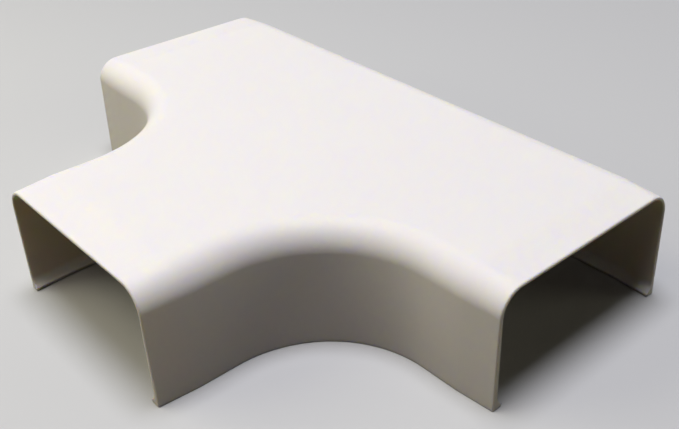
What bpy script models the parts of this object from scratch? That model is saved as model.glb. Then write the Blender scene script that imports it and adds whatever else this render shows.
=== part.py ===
"""Tee cover for surface cable raceway: one thin moulded PVC shell that snaps over the crossing.

The straight run lies along X and the branch points to -Y. The shell is open underneath, where
it sits on the building's wall, and at its three mouths, where the raceway lengths come in.
One half is lofted from the wall's section, carried along the plan outline, and mirrored.
"""

import math
from collections import namedtuple

import bmesh
import bpy
from mathutils import Vector

# Driving dimensions, in metres
LEG_WIDTH = 0.050         # outside, across a leg, at the top face
HEIGHT = 0.026            # building's wall to the top face
SWEEP_RADIUS = 0.0252     # outside face of the two swept corners, at the top face
RUN_LEG = 0.017           # straight length of a run leg, from the sweep to the mouth
BRANCH_LEG = 0.017        # straight length of the branch, from the sweep to the mouth
WALL = 0.00075            # moulded thickness at the top
DRAFT = math.radians(1.4)  # lean of the walls' outside faces, wider towards the bottom
INNER_DRAFT = math.radians(0.5)  # lean of their inside faces, so that a wall thickens downwards
TOP_ROUND = 0.0058        # rounding along the top edges
GRIP_LENGTH = 0.0084      # end of each leg that draws in, to grip the raceway
GRIP_INSET = 0.0006       # how far its top and walls have drawn in at the mouth
HOOK_REACH = 0.0012       # snap hook, in from the inside face of the wall
HOOK_HEIGHT = 0.0030      # where the hook's hollow top runs out into the inside face
HOOK_LIFT = 0.0002        # underside of the hook's nose above the seat
HOOK_NOSE = 0.0005        # blunt end of the hook
SEAT_CHAMFER = 0.00025    # outside bottom edge
PVC_COLOUR = (0.86, 0.85, 0.83, 1.0)
PVC_ROUGHNESS = 0.42

# Facets
SWEEP_STEPS = 24
ROUND_STEPS = 8
HOOK_STEPS = 4
MERGE = 0.00001

# Plan lines that follow from the sizes, from the crossing of the centre lines
HALF_WIDTH = LEG_WIDTH / 2
SWEEP_CENTRE = HALF_WIDTH + SWEEP_RADIUS
RUN_END = SWEEP_CENTRE + RUN_LEG
BRANCH_END = SWEEP_CENTRE + BRANCH_LEG
RUN_BEND = RUN_END - GRIP_LENGTH
BRANCH_BEND = BRANCH_END - GRIP_LENGTH
LEAN = math.tan(DRAFT)
BACK_EDGE = HALF_WIDTH + HEIGHT * LEAN

# Centre of the top rounding, out from the plan outline and up from the building's wall
ROUND_OUT = -TOP_ROUND * (1.0 - math.sin(DRAFT)) / math.cos(DRAFT)
ROUND_HEIGHT = HEIGHT - TOP_ROUND

# A place along a wall: a point of the plan outline, the way out of the shell, and how far it has drawn in
Station = namedtuple("Station", "x y out_x out_y inset")


def arc(centre, radius, start, end, steps):
    """Points of an arc about a centre, as (out, height)."""
    angles = [start + (end - start) * i / steps for i in range(steps + 1)]
    return [(centre[0] + radius * math.cos(a), centre[1] + radius * math.sin(a)) for a in angles]


def face_out(height, radius, lean):
    """Where a wall's face that touches the top rounding of this radius lies at a height."""
    return ROUND_OUT + (radius - (height - ROUND_HEIGHT) * math.sin(lean)) / math.cos(lean)


def hook_top(nose, foot):
    """Hollow round from the hook's nose up to the inside face, which it meets at a tangent."""
    across = Vector(nose) - Vector(foot)
    inwards = Vector((-math.cos(INNER_DRAFT), -math.sin(INNER_DRAFT)))
    radius = across.length_squared / (2.0 * across.dot(inwards))
    centre = Vector(foot) + inwards * radius
    start = math.atan2(nose[1] - centre.y, nose[0] - centre.x)
    return arc(centre, radius, start, INNER_DRAFT, HOOK_STEPS)


def section(inset):
    """Outline of the wall as (out, height): top face, outside, hook, inside, underside of the top."""
    centre = (ROUND_OUT, ROUND_HEIGHT)
    outer_round = TOP_ROUND - inset
    inner_round = outer_round - WALL
    level = math.pi / 2

    def outside(height):
        return face_out(height, outer_round, DRAFT)

    def inside(height):
        return face_out(height, inner_round, INNER_DRAFT)

    nose = inside(0.0) - HOOK_REACH
    foot = [
        (outside(SEAT_CHAMFER), SEAT_CHAMFER),
        (outside(0.0) - SEAT_CHAMFER, 0.0),
        (inside(0.0), 0.0),
        (nose, HOOK_LIFT),
    ]
    hook = hook_top((nose, HOOK_LIFT + HOOK_NOSE), (inside(HOOK_HEIGHT), HOOK_HEIGHT))
    outer = arc(centre, outer_round, level, DRAFT, ROUND_STEPS)
    inner = arc(centre, inner_round, INNER_DRAFT, level, ROUND_STEPS)
    return outer + foot + hook + inner


def back_wall():
    """Stations of half the straight back wall: the middle, the bend and the run's mouth."""
    places = [(0.0, 0.0), (RUN_BEND, 0.0), (RUN_END, GRIP_INSET)]
    return [Station(x, HALF_WIDTH, 0.0, 1.0, inset) for x, inset in places]


def swept_wall():
    """Stations of the swept wall, from the run's mouth round the corner to the branch's mouth."""
    run_leg = [
        Station(RUN_END, -HALF_WIDTH, 0.0, -1.0, GRIP_INSET),
        Station(RUN_BEND, -HALF_WIDTH, 0.0, -1.0, 0.0),
    ]
    sweep = []
    for i in range(SWEEP_STEPS + 1):
        angle = math.pi / 2 * (1.0 + i / SWEEP_STEPS)
        away_x, away_y = math.cos(angle), math.sin(angle)
        x = SWEEP_CENTRE + SWEEP_RADIUS * away_x
        y = SWEEP_RADIUS * away_y - SWEEP_CENTRE
        sweep.append(Station(x, y, -away_x, -away_y, 0.0))
    branch_leg = [
        Station(HALF_WIDTH, -BRANCH_BEND, 1.0, 0.0, 0.0),
        Station(HALF_WIDTH, -BRANCH_END, 1.0, 0.0, GRIP_INSET),
    ]
    return run_leg + sweep + branch_leg


def loft_wall(bm, stations):
    """Carries the wall's section along the stations and returns its rows of points."""
    rows = []
    for place in stations:
        rows.append([
            bm.verts.new((place.x + place.out_x * out, place.y + place.out_y * out, height))
            for out, height in section(place.inset)
        ])
    for near, far in zip(rows, rows[1:]):
        for quad in zip(near, far, far[1:], near[1:]):
            bm.faces.new(quad)
    return rows


def close_top(bm, back, swept, height):
    """Top face, or its underside, and the two panels that slope to the mouths."""
    branch_bend = bm.verts.new((0.0, -BRANCH_BEND, height))
    branch_mouth = bm.verts.new((0.0, -BRANCH_END, height - GRIP_INSET))
    bm.faces.new(back[:-1] + swept[1:-1] + [branch_bend])
    bm.faces.new(back[-2:] + swept[:2])
    bm.faces.new(swept[-2:] + [branch_mouth, branch_bend])
    return branch_mouth


def half_shell():
    """Mesh of the half at +X, open at the plane X = 0."""
    bm = bmesh.new()
    back = loft_wall(bm, back_wall())
    swept = loft_wall(bm, swept_wall())
    top = close_top(bm, [row[0] for row in back], [row[0] for row in swept], HEIGHT)
    under = close_top(bm, [row[-1] for row in back], [row[-1] for row in swept], HEIGHT - WALL)
    bm.faces.new(swept[0] + back[-1][::-1])
    bm.faces.new(swept[-1] + [under, top])
    bmesh.ops.recalc_face_normals(bm, faces=bm.faces)
    mesh = bpy.data.meshes.new("tee_cover")
    bm.to_mesh(mesh)
    bm.free()
    mesh.shade_smooth()
    mesh.set_sharp_from_angle(angle=math.radians(30))
    return mesh


def white_pvc():
    material = bpy.data.materials.new("white_pvc")
    material.use_nodes = True
    shader = material.node_tree.nodes["Principled BSDF"]
    shader.inputs["Base Color"].default_value = PVC_COLOUR
    shader.inputs["Roughness"].default_value = PVC_ROUGHNESS
    shader.inputs["Metallic"].default_value = 0.0
    return material


def tee_cover(collection):
    """The cover, placed so that the middle of its footprint is the origin."""
    cover = bpy.data.objects.new("tee_cover", half_shell())
    collection.objects.link(cover)
    cover.data.materials.append(white_pvc())
    cover.location.y = (BRANCH_END - BACK_EDGE) / 2
    mirror = cover.modifiers.new("other_half", "MIRROR")
    mirror.use_axis = (True, False, False)
    mirror.merge_threshold = MERGE
    return cover


def main():
    for leftover in list(bpy.data.objects):
        bpy.data.objects.remove(leftover)
    collection = bpy.data.collections.new("raceway_tee_cover")
    bpy.context.scene.collection.children.link(collection)
    tee_cover(collection)


main()
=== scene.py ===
"""Looks of the raceway tee cover: one moulded shell in satin white PVC, on a pale floor.

Lengths are in metres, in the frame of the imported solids: the run lies along X, the branch points
to -Y, and Z = 0 is the surface that the cover is fixed to.
"""

import math

import bmesh
import bpy
from mathutils import Matrix, Vector


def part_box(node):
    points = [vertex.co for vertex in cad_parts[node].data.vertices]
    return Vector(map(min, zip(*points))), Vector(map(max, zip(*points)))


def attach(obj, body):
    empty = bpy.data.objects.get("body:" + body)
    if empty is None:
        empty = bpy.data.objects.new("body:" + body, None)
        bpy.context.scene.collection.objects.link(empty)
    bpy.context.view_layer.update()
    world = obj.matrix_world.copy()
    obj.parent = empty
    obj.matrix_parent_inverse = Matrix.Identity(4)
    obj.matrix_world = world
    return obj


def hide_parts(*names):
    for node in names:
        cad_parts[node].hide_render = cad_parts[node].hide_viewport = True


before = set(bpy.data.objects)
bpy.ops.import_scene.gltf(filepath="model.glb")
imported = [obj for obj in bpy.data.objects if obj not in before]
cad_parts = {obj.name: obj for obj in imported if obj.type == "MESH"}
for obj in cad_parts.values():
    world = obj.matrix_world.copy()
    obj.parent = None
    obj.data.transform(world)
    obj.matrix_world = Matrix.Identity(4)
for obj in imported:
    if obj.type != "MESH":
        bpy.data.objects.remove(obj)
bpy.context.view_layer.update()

# Sizes of the moulding that the box of its solid doesn't give
LEG_WIDTH = 0.050          # outside, across a leg, at the top face
SWEEP_RADIUS = 0.0252      # outside face of the swept corners, at the top face
WALL = 0.00075             # moulded thickness at the top
DRAFT = math.radians(1.4)  # lean of the walls' outside faces, wider towards the bottom
INNER_DRAFT = math.radians(0.5)  # lean of their inside faces, so that a wall thickens downwards
TOP_ROUND = 0.0058         # rounding along the top edges
GRIP_LENGTH = 0.0084       # end of each leg that draws in, to grip the raceway
GRIP_INSET = 0.0006        # how far its top and walls have drawn in at the mouth
GRIP_BEND = 0.0009         # length over which the body bends into a drawn-in end
HOOK_REACH = 0.0012        # snap hook, in from the inside face of the wall
HOOK_HEIGHT = 0.0030       # where the hook's hollow top runs out into the inside face
HOOK_LIFT = 0.0002         # underside of the hook's nose above the seat
HOOK_NOSE = 0.0005         # blunt end of the hook
RIM_ROUND = 0.00035        # rounding of the mouths' outside edges
RIM_INNER_ROUND = 0.0002   # rounding of the mouths' inside edges
FOOT_ROUND = 0.00022       # rounding of the seat's and the hooks' ends at the mouths
SEAT_ROUND = 0.00025       # rounding of the walls' outside bottom edge
EDGE_EASE = 0.00012        # softening of every other sharp edge

# Facets
ROUND_STEPS = 16
SWEEP_STEPS = 64
BEND_STEPS = 4
HOOK_STEPS = 8
EASE_STEPS = 3
SHARP = math.radians(30)   # an edge that turns more is softened
SMOOTH = math.radians(50)  # shading is smooth across edges that turn less
NEAR = 0.000001            # places closer than this are the same
ALONG_RUN = (1.0, 0.0, 0.0)
UPWARDS = (0.0, 0.0, 1.0)

# Plan lines that follow from the sizes and from the solid's box
low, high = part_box("tee_cover")
HEIGHT = high.z
RUN_END = high.x
BRANCH_END = low.y
LEAN = math.tan(DRAFT)
BACK = high.y - HEIGHT * LEAN
MIDDLE = BACK - LEG_WIDTH / 2
FRONT = BACK - LEG_WIDTH
SIDE = LEG_WIDTH / 2
SWEEP_X = SIDE + SWEEP_RADIUS
SWEEP_Y = FRONT - SWEEP_RADIUS
UNDERSIDE = HEIGHT - WALL
ROUND_OUT = -TOP_ROUND * (1.0 - math.sin(DRAFT)) / math.cos(DRAFT)
ROUND_HEIGHT = HEIGHT - TOP_ROUND
GRIP_START = GRIP_LENGTH + GRIP_BEND / 2

# The PVC and the floor
PVC_PALE = (0.88, 0.857, 0.868, 1.0)
PVC_DEEP = (0.86, 0.837, 0.845, 1.0)
PVC_SPREAD = 0.00062           # how far red light spreads inside the thin wall before it leaves
PVC_SPREAD_SHARES = (1.0, 0.88, 0.33)  # of that, for red, green and blue
PVC_GLOSS = (0.52, 0.60)       # roughness, from the glossiest places to the dullest
CLOUD_SCALE = 22.0             # per metre: faint changes of shade across the moulding
CLOUD_DETAIL = 3.0
GLOSS_SCALE = 160.0            # per metre: patches of more and less gloss
GLOSS_DETAIL = 4.0
GLOSS_NOISE = (0.3, 0.7)       # values of that noise that give the glossiest and the dullest places
GRAIN_SCALE = 5200.0           # per metre: the mould's fine texture
GRAIN_DETAIL = 2.0
GRAIN_DEPTH = 0.000004
GRAIN_STRENGTH = 0.6
FLOOR_PALE = (0.62, 0.63, 0.645, 1.0)
FLOOR_BOUNCE = (0.068, 0.055, 0.032, 1.0)
BACKDROP = (0.588, 0.585, 0.588, 1.0)
FLOOR_ROUGHNESS = 0.9
FLOOR_FADE = (0.14, 0.5)       # distance from the cover over which the floor turns into the backdrop

# The stage, the light and the photo's camera
FLOOR_WIDTH = 6.0
FLOOR_DROP = 0.00005           # the floor lies this far under the seat
WORLD_FILL = (1.0, 0.93, 0.82, 1.0)
WORLD_FILL_STRENGTH = 0.01
COOL_LIGHT = (0.94, 0.94, 1.0)
WARM_LIGHT = (1.0, 0.95, 0.71)
AMBER_LIGHT = (1.0, 0.88, 0.72)
LAMPS = (
    # name, azimuth and elevation in degrees, distance, width, watts, colour
    ("ceiling_lamp", 0.0, 90.0, 1.0, 0.45, 7.55, COOL_LIGHT),
    ("front_lamp", 270.0, 65.0, 1.0, 0.45, 1.2, AMBER_LIGHT),
    ("left_lamp", 225.0, 35.0, 0.4, 0.34, 0.58, WARM_LIGHT),
    ("right_fill", 45.0, 15.0, 1.0, 0.45, 0.67, WARM_LIGHT),
)
PHOTO_WIDTH = 679              # pixels
PHOTO_HEIGHT = 429
CAMERA_PLACE = (0.14403, -0.10005, 0.11936)
CAMERA_AZIMUTH = math.radians(46.822)
CAMERA_ELEVATION = math.radians(32.055)
CAMERA_ROLL = math.radians(-0.546)
FOCAL_PIXELS = 938.67
CENTRE_COLUMN = 393.35         # pixel that the lens looks straight at
CENTRE_ROW = 206.8
SENSOR = 36.0                  # millimetres, along the photo's width
LENS_CLEAR = 0.005             # nothing nearer to the lens is drawn


# Selecting and moving in edit mode

def edit_points():
    """The mesh in edit mode."""
    return bmesh.from_edit_mesh(bpy.context.object.data)


def choose(test):
    """Selects the points whose place passes the test, and what lies between them."""
    mesh = edit_points()
    for point in mesh.verts:
        point.select = test(point.co)
    mesh.select_flush_mode()
    bmesh.update_edit_mesh(bpy.context.object.data)


def chosen_place():
    """Middle of the points that are selected."""
    places = [point.co.copy() for point in edit_points().verts if point.select]
    return sum(places, Vector()) / len(places)


def extrude(step):
    bpy.ops.mesh.extrude_region_move(TRANSFORM_OT_translate={"value": step})


def extrude_to(place):
    extrude(Vector(place) - chosen_place())


def spin(centre, axis, turn, steps):
    """Spins what is selected by the right-hand rule, which the operator's own angle runs against."""
    bpy.ops.mesh.spin(steps=steps, angle=-turn, center=centre, axis=axis)


# The wall's section

def outside_face(height):
    """Outside face of the body's wall: distance out from the plan outline."""
    return (HEIGHT - height) * LEAN


def inside_face(height):
    """Inside face of the body's wall, in the same measure. It touches the inner rounding."""
    rise = height - ROUND_HEIGHT
    return ROUND_OUT + (TOP_ROUND - WALL - rise * math.sin(INNER_DRAFT)) / math.cos(INNER_DRAFT)


def start_point(place):
    """New mesh of one point: a plane with its corners merged."""
    bpy.ops.object.select_all(action="DESELECT")
    bpy.ops.mesh.primitive_plane_add(size=WALL)
    bpy.ops.object.mode_set(mode="EDIT")
    bpy.ops.mesh.select_mode(type="VERT")
    bpy.ops.mesh.select_all(action="SELECT")
    bpy.ops.mesh.merge(type="CENTER")
    bpy.ops.transform.translate(value=place)


def draw_section():
    """Section of the back wall, across the middle of the run, from the top face to its underside."""
    centre = (0.0, BACK + ROUND_OUT, ROUND_HEIGHT)
    seat_inside = inside_face(0.0)
    nose = seat_inside - HOOK_REACH
    nose_top = HOOK_LIFT + HOOK_NOSE
    start_point((0.0, BACK + ROUND_OUT, HEIGHT))
    spin(centre, ALONG_RUN, DRAFT - math.pi / 2, ROUND_STEPS)
    for out, height in (
        (outside_face(0.0), 0.0),
        (seat_inside, 0.0),
        (nose, HOOK_LIFT),
        (nose, nose_top),
    ):
        extrude_to((0.0, BACK + out, height))
    hollow_top()
    to_face = Vector((0.0, math.cos(INNER_DRAFT), math.sin(INNER_DRAFT)))
    extrude_to(Vector(centre) + (TOP_ROUND - WALL) * to_face)
    spin(centre, ALONG_RUN, math.pi / 2 - INNER_DRAFT, ROUND_STEPS)


def hollow_top():
    """From the hook's nose up a hollow round that runs out into the inside face."""
    nose = chosen_place()
    foot = Vector((0.0, BACK + inside_face(HOOK_HEIGHT), HOOK_HEIGHT))
    inwards = Vector((0.0, -math.cos(INNER_DRAFT), -math.sin(INNER_DRAFT)))
    across = nose - foot
    radius = across.length_squared / (2.0 * across.dot(inwards))
    centre = foot + inwards * radius
    turn = (nose - centre).angle(foot - centre)
    spin(centre, ALONG_RUN, turn, HOOK_STEPS)


# The half shell

def leg_distances(length):
    """Distances from a mouth, along a straight leg, at which the wall has a row of points."""
    bend = [GRIP_START - GRIP_BEND * (1.0 - i / BEND_STEPS) for i in range(BEND_STEPS + 1)]
    return [0.0] + bend + [length]


def grip_inset(from_mouth):
    """How far the faces have drawn in: an even slope to the mouth, which begins in a soft bend."""
    slope = GRIP_INSET / GRIP_LENGTH
    past = max(GRIP_START - from_mouth, 0.0)
    if past < GRIP_BEND:
        return slope * past * past / (2.0 * GRIP_BEND)
    return slope * (past - GRIP_BEND / 2)


def draw_walls():
    """Carries the section along the back wall, and a mirrored copy round the swept corner."""
    run_rows = leg_distances(RUN_END - SWEEP_X)
    branch_rows = leg_distances(SWEEP_Y - BRANCH_END)
    draw_section()
    bpy.ops.mesh.select_all(action="SELECT")
    for from_mouth in run_rows[-2::-1]:
        extrude((RUN_END - from_mouth - chosen_place().x, 0.0, 0.0))
    bpy.ops.mesh.duplicate()
    bpy.ops.transform.resize(value=(1.0, -1.0, 1.0), center_override=(0.0, MIDDLE, 0.0))
    for near, far in zip(run_rows, run_rows[1:]):
        extrude((near - far, 0.0, 0.0))
    spin((SWEEP_X, SWEEP_Y, 0.0), UPWARDS, math.pi / 2, SWEEP_STEPS)
    for far, near in zip(branch_rows[::-1], branch_rows[-2::-1]):
        extrude((0.0, near - far, 0.0))


def press_row(along, place, out, outline, inset):
    """Draws one row of a wall's points in: its roundings shrink and its foot moves inwards."""
    across = "x" if along == "y" else "y"
    middle = outline + out * ROUND_OUT
    inwards = -out * inset / math.cos(DRAFT)

    def in_row(point):
        side = getattr(point, across)
        return abs(getattr(point, along) - place) < NEAR and abs(side - outline) < SIDE / 2

    def shrink_round(radius):
        def on_round(point):
            offset = Vector((getattr(point, across) - middle, point.z - ROUND_HEIGHT))
            return in_row(point) and abs(offset.length - radius) < NEAR
        factor = 1.0 - inset / radius
        choose(on_round)
        if along == "x":
            bpy.ops.transform.resize(
                value=(1.0, factor, factor), center_override=(place, middle, ROUND_HEIGHT)
            )
        else:
            bpy.ops.transform.resize(
                value=(factor, 1.0, factor), center_override=(middle, place, ROUND_HEIGHT)
            )

    shrink_round(TOP_ROUND)
    shrink_round(TOP_ROUND - WALL)
    choose(lambda p: in_row(p) and p.z < HOOK_HEIGHT + NEAR)
    bpy.ops.transform.translate(value=(0.0, inwards, 0.0) if along == "x" else (inwards, 0.0, 0.0))


def draw_in_ends():
    for from_mouth in leg_distances(RUN_END - SWEEP_X)[:-2]:
        inset = grip_inset(from_mouth)
        press_row("x", RUN_END - from_mouth, 1.0, BACK, inset)
        press_row("x", RUN_END - from_mouth, -1.0, FRONT, inset)
    for from_mouth in leg_distances(SWEEP_Y - BRANCH_END)[:-2]:
        press_row("y", BRANCH_END + from_mouth, 1.0, SIDE, grip_inset(from_mouth))


def close_level(level):
    """Fills the top face, or its underside, and the strips that slope down to the mouths."""
    run_start = RUN_END - GRIP_START
    branch_start = BRANCH_END + GRIP_START

    def at_level(point):
        return -GRIP_INSET - NEAR < point.z - level < NEAR

    def on_run_ridge(point):
        from_ridge = abs(abs(point.y - MIDDLE) - SIDE - ROUND_OUT)
        return at_level(point) and from_ridge < NEAR and point.x > run_start - NEAR

    def on_branch_ridge(point):
        from_ridge = abs(point.x - SIDE - ROUND_OUT)
        return at_level(point) and from_ridge < NEAR and point.y < branch_start + NEAR

    def on_body(point):
        return point.x < run_start + NEAR and point.y > branch_start - NEAR

    choose(on_run_ridge)
    bpy.ops.mesh.bridge_edge_loops()
    choose(on_branch_ridge)
    extrude((-chosen_place().x, 0.0, 0.0))
    choose(lambda p: abs(p.z - level) < NEAR and on_body(p))
    bpy.ops.mesh.edge_face_add()


def close_shell():
    """Fills the top, its underside and the mouths' end faces."""
    close_level(HEIGHT)
    close_level(UNDERSIDE)
    choose(lambda p: abs(p.x - RUN_END) < NEAR)
    bpy.ops.mesh.edge_face_add()
    choose(lambda p: abs(p.y - BRANCH_END) < NEAR)
    bpy.ops.mesh.edge_face_add()


def apply_modifier(piece, kind, **settings):
    modifier = piece.modifiers.new(kind.lower(), kind)
    for name, value in settings.items():
        setattr(modifier, name, value)
    bpy.ops.object.modifier_apply(modifier=modifier.name)


def weigh_edges(width):
    """Sets how wide the chosen edges are rounded, as a share of the rims' rounding."""
    bpy.ops.transform.edge_bevelweight(value=-1.0)
    bpy.ops.transform.edge_bevelweight(value=width / RIM_ROUND)


def choose_edges(test):
    """Selects the edges that pass the test."""
    mesh = edit_points()
    for edge in mesh.edges:
        edge.select = test(edge)
    mesh.select_flush_mode()
    bmesh.update_edit_mesh(bpy.context.object.data)


def at_mouth(edge):
    def in_mouth(place):
        return abs(abs(place.x) - RUN_END) < NEAR or abs(place.y - BRANCH_END) < NEAR
    return all(in_mouth(point.co) for point in edge.verts)


def on_rim(edge, facing):
    """Whether an edge of a mouth is on the outside (facing 1) or the inside (facing -1) of the shell."""
    middle = (edge.verts[0].co + edge.verts[1].co) / 2
    if abs(middle.y - BRANCH_END) < NEAR:
        leg_axis = Vector((0.0, middle.y, 0.0))
    else:
        leg_axis = Vector((middle.x, MIDDLE, 0.0))
    turned = max(facing * face.normal.dot(middle - leg_axis) for face in edge.link_faces)
    return at_mouth(edge) and turned > WALL


def below(edge, height):
    return all(point.co.z < height + NEAR for point in edge.verts)


def on_seat_outside(edge):
    """Whether an edge is where the seat turns up into an outside face."""
    return below(edge, 0.0) and any(abs(face.normal.z) < LEAN * 2 for face in edge.link_faces)


def soften_edges():
    """Rounds the mouths' rims and feet and the seat's outside edge, and eases every other sharp edge."""
    bpy.ops.mesh.select_mode(type="EDGE")
    bpy.ops.mesh.select_all(action="DESELECT")
    bpy.ops.mesh.edges_select_sharp(sharpness=SHARP)
    weigh_edges(EDGE_EASE)
    choose_edges(on_seat_outside)
    weigh_edges(SEAT_ROUND)
    choose_edges(lambda edge: on_rim(edge, 1.0))
    weigh_edges(RIM_ROUND)
    choose_edges(lambda edge: on_rim(edge, -1.0))
    weigh_edges(RIM_INNER_ROUND)
    choose_edges(lambda edge: at_mouth(edge) and below(edge, HOOK_LIFT + HOOK_NOSE))
    weigh_edges(FOOT_ROUND)


def moulded_shell():
    """The whole cover, with both halves joined and its edges softened."""
    draw_walls()
    draw_in_ends()
    close_shell()
    bpy.ops.object.mode_set(mode="OBJECT")
    shell = bpy.context.object
    shell.name = "moulded_shell"
    apply_modifier(shell, "MIRROR", use_axis=(True, False, False), merge_threshold=NEAR)
    bpy.ops.object.mode_set(mode="EDIT")
    bpy.ops.mesh.select_all(action="SELECT")
    bpy.ops.mesh.remove_doubles(threshold=NEAR)
    bpy.ops.mesh.normals_make_consistent(inside=False)
    soften_edges()
    bpy.ops.object.mode_set(mode="OBJECT")
    apply_modifier(
        shell, "BEVEL", limit_method="WEIGHT", width=RIM_ROUND, segments=EASE_STEPS, use_clamp_overlap=False
    )
    bpy.ops.object.shade_smooth_by_angle(angle=SMOOTH)
    apply_modifier(shell, "WEIGHTED_NORMAL", keep_sharp=True)
    return shell


# Finishes

def new_material(name):
    """A material with a Principled shader: its nodes, links and shader."""
    material = bpy.data.materials.new(name)
    material.use_nodes = True
    nodes = material.node_tree.nodes
    return material, nodes, material.node_tree.links, nodes["Principled BSDF"]


def noise(nodes, links, place, scale, detail):
    texture = nodes.new("ShaderNodeTexNoise")
    texture.inputs["Scale"].default_value = scale
    texture.inputs["Detail"].default_value = detail
    links.new(place, texture.inputs["Vector"])
    return texture.outputs["Fac"]


def satin_pvc():
    """White PVC as it comes from a finely textured mould, thin enough to let some light through."""
    material, nodes, links, shader = new_material("satin_white_pvc")
    place = nodes.new("ShaderNodeTexCoord").outputs["Object"]
    shade = nodes.new("ShaderNodeMix")
    shade.data_type = "RGBA"
    shade.inputs["A"].default_value = PVC_DEEP
    shade.inputs["B"].default_value = PVC_PALE
    links.new(noise(nodes, links, place, CLOUD_SCALE, CLOUD_DETAIL), shade.inputs["Factor"])
    links.new(shade.outputs["Result"], shader.inputs["Base Color"])
    gloss = nodes.new("ShaderNodeMapRange")
    gloss.inputs["From Min"].default_value = GLOSS_NOISE[0]
    gloss.inputs["From Max"].default_value = GLOSS_NOISE[1]
    gloss.inputs["To Min"].default_value = PVC_GLOSS[0]
    gloss.inputs["To Max"].default_value = PVC_GLOSS[1]
    links.new(noise(nodes, links, place, GLOSS_SCALE, GLOSS_DETAIL), gloss.inputs["Value"])
    links.new(gloss.outputs["Result"], shader.inputs["Roughness"])
    grain = nodes.new("ShaderNodeBump")
    grain.inputs["Strength"].default_value = GRAIN_STRENGTH
    grain.inputs["Distance"].default_value = GRAIN_DEPTH
    links.new(noise(nodes, links, place, GRAIN_SCALE, GRAIN_DETAIL), grain.inputs["Height"])
    links.new(grain.outputs["Normal"], shader.inputs["Normal"])
    shader.inputs["Subsurface Weight"].default_value = 1.0
    shader.inputs["Subsurface Radius"].default_value = PVC_SPREAD_SHARES
    shader.inputs["Subsurface Scale"].default_value = PVC_SPREAD
    return material


def joined(nodes, links, operation, first, second):
    """Two values joined by a Math node."""
    math_node = nodes.new("ShaderNodeMath")
    math_node.operation = operation
    links.new(first, math_node.inputs[0])
    links.new(second, math_node.inputs[1])
    return math_node.outputs["Value"]


def seen_rays(nodes, links):
    """1 for what the camera sees, directly, mirrored or through glass, and 0 for light that lights."""
    ray = nodes.new("ShaderNodeLightPath")
    seen = ray.outputs["Is Camera Ray"]
    for kind in ("Is Glossy Ray", "Is Transmission Ray"):
        seen = joined(nodes, links, "MAXIMUM", seen, ray.outputs[kind])
    return seen


def far_from_cover(nodes, links):
    """From 0 on the floor near the cover to 1 far away."""
    distance = nodes.new("ShaderNodeVectorMath")
    distance.operation = "LENGTH"
    links.new(nodes.new("ShaderNodeTexCoord").outputs["Object"], distance.inputs[0])
    fade = nodes.new("ShaderNodeMapRange")
    fade.interpolation_type = "SMOOTHSTEP"
    fade.inputs["From Min"].default_value = FLOOR_FADE[0]
    fade.inputs["From Max"].default_value = FLOOR_FADE[1]
    links.new(distance.outputs["Value"], fade.inputs["Value"])
    return fade.outputs["Result"]


def pale_floor():
    """Pale where it is seen, darker for the light that it throws back, and a plain backdrop far away."""
    material, nodes, links, shader = new_material("pale_floor")
    shader.inputs["Roughness"].default_value = FLOOR_ROUGHNESS
    shader.inputs["Specular IOR Level"].default_value = 0.0
    seen = seen_rays(nodes, links)
    shade = nodes.new("ShaderNodeMix")
    shade.data_type = "RGBA"
    shade.inputs["A"].default_value = FLOOR_BOUNCE
    shade.inputs["B"].default_value = FLOOR_PALE
    links.new(seen, shade.inputs["Factor"])
    links.new(shade.outputs["Result"], shader.inputs["Base Color"])
    backdrop = nodes.new("ShaderNodeEmission")
    backdrop.inputs["Color"].default_value = BACKDROP
    choice = nodes.new("ShaderNodeMixShader")
    links.new(joined(nodes, links, "MULTIPLY", seen, far_from_cover(nodes, links)), choice.inputs["Fac"])
    links.new(shader.outputs["BSDF"], choice.inputs[1])
    links.new(backdrop.outputs["Emission"], choice.inputs[2])
    links.new(choice.outputs["Shader"], nodes["Material Output"].inputs["Surface"])
    return material


# Floor, light and camera

def lay_floor():
    bpy.ops.mesh.primitive_plane_add(size=FLOOR_WIDTH, location=(0.0, 0.0, -FLOOR_DROP))
    floor = bpy.context.object
    floor.name = "floor"
    floor.data.materials.append(pale_floor())


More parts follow.
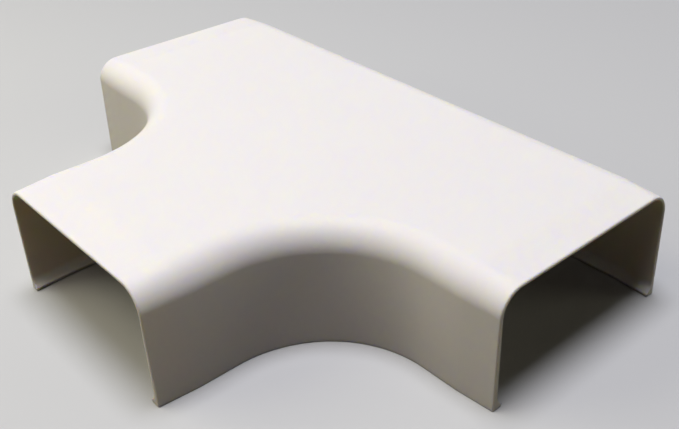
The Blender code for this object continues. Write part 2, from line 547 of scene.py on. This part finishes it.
def soft_lamp(name, azimuth, elevation, distance, width, power, colour):
    """A round soft lamp that faces the cover. Azimuth 0 is the +X side, and 90 the +Y side."""
    around = math.radians(azimuth)
    up = math.radians(elevation)
    place = distance * Vector(
        (math.cos(up) * math.cos(around), math.cos(up) * math.sin(around), math.sin(up))
    )
    lamp = bpy.data.lights.new(name, "AREA")
    lamp.shape = "DISK"
    lamp.size = width
    lamp.energy = power
    lamp.color = colour
    holder = bpy.data.objects.new(name, lamp)
    holder.location = place
    holder.rotation_euler = place.to_track_quat("Z", "Y").to_euler()
    bpy.context.scene.collection.objects.link(holder)


def light_scene():
    for lamp in LAMPS:
        soft_lamp(*lamp)
    world = bpy.data.worlds.new("studio")
    bpy.context.scene.world = world
    world.use_nodes = True
    nodes = world.node_tree.nodes
    links = world.node_tree.links
    fill = nodes["Background"]
    fill.inputs["Color"].default_value = WORLD_FILL
    fill.inputs["Strength"].default_value = WORLD_FILL_STRENGTH
    seen = nodes.new("ShaderNodeBackground")
    seen.inputs["Color"].default_value = BACKDROP
    choice = nodes.new("ShaderNodeMixShader")
    links.new(seen_rays(nodes, links), choice.inputs["Fac"])
    links.new(fill.outputs["Background"], choice.inputs[1])
    links.new(seen.outputs["Background"], choice.inputs[2])
    links.new(choice.outputs["Shader"], nodes["World Output"].inputs["Surface"])
    bpy.context.scene.view_settings.view_transform = "Standard"


def set_camera():
    lens = bpy.data.cameras.new("photo_view")
    lens.sensor_width = SENSOR
    lens.lens = FOCAL_PIXELS / PHOTO_WIDTH * SENSOR
    lens.shift_x = (PHOTO_WIDTH / 2 - CENTRE_COLUMN) / PHOTO_WIDTH
    lens.shift_y = (CENTRE_ROW - PHOTO_HEIGHT / 2) / PHOTO_WIDTH
    lens.clip_start = LENS_CLEAR
    camera = bpy.data.objects.new("photo_view", lens)
    turn = Matrix.Rotation(CAMERA_AZIMUTH, 4, "Z")
    tilt = Matrix.Rotation(math.pi / 2 - CAMERA_ELEVATION, 4, "X")
    roll = Matrix.Rotation(CAMERA_ROLL, 4, "Z")
    camera.matrix_world = Matrix.Translation(CAMERA_PLACE) @ turn @ tilt @ roll
    bpy.context.scene.collection.objects.link(camera)
    bpy.context.scene.camera = camera


shell = moulded_shell()
shell.data.materials.clear()
shell.data.materials.append(satin_pvc())
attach(shell, "root")
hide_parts("tee_cover")
lay_floor()
light_scene()
set_camera()
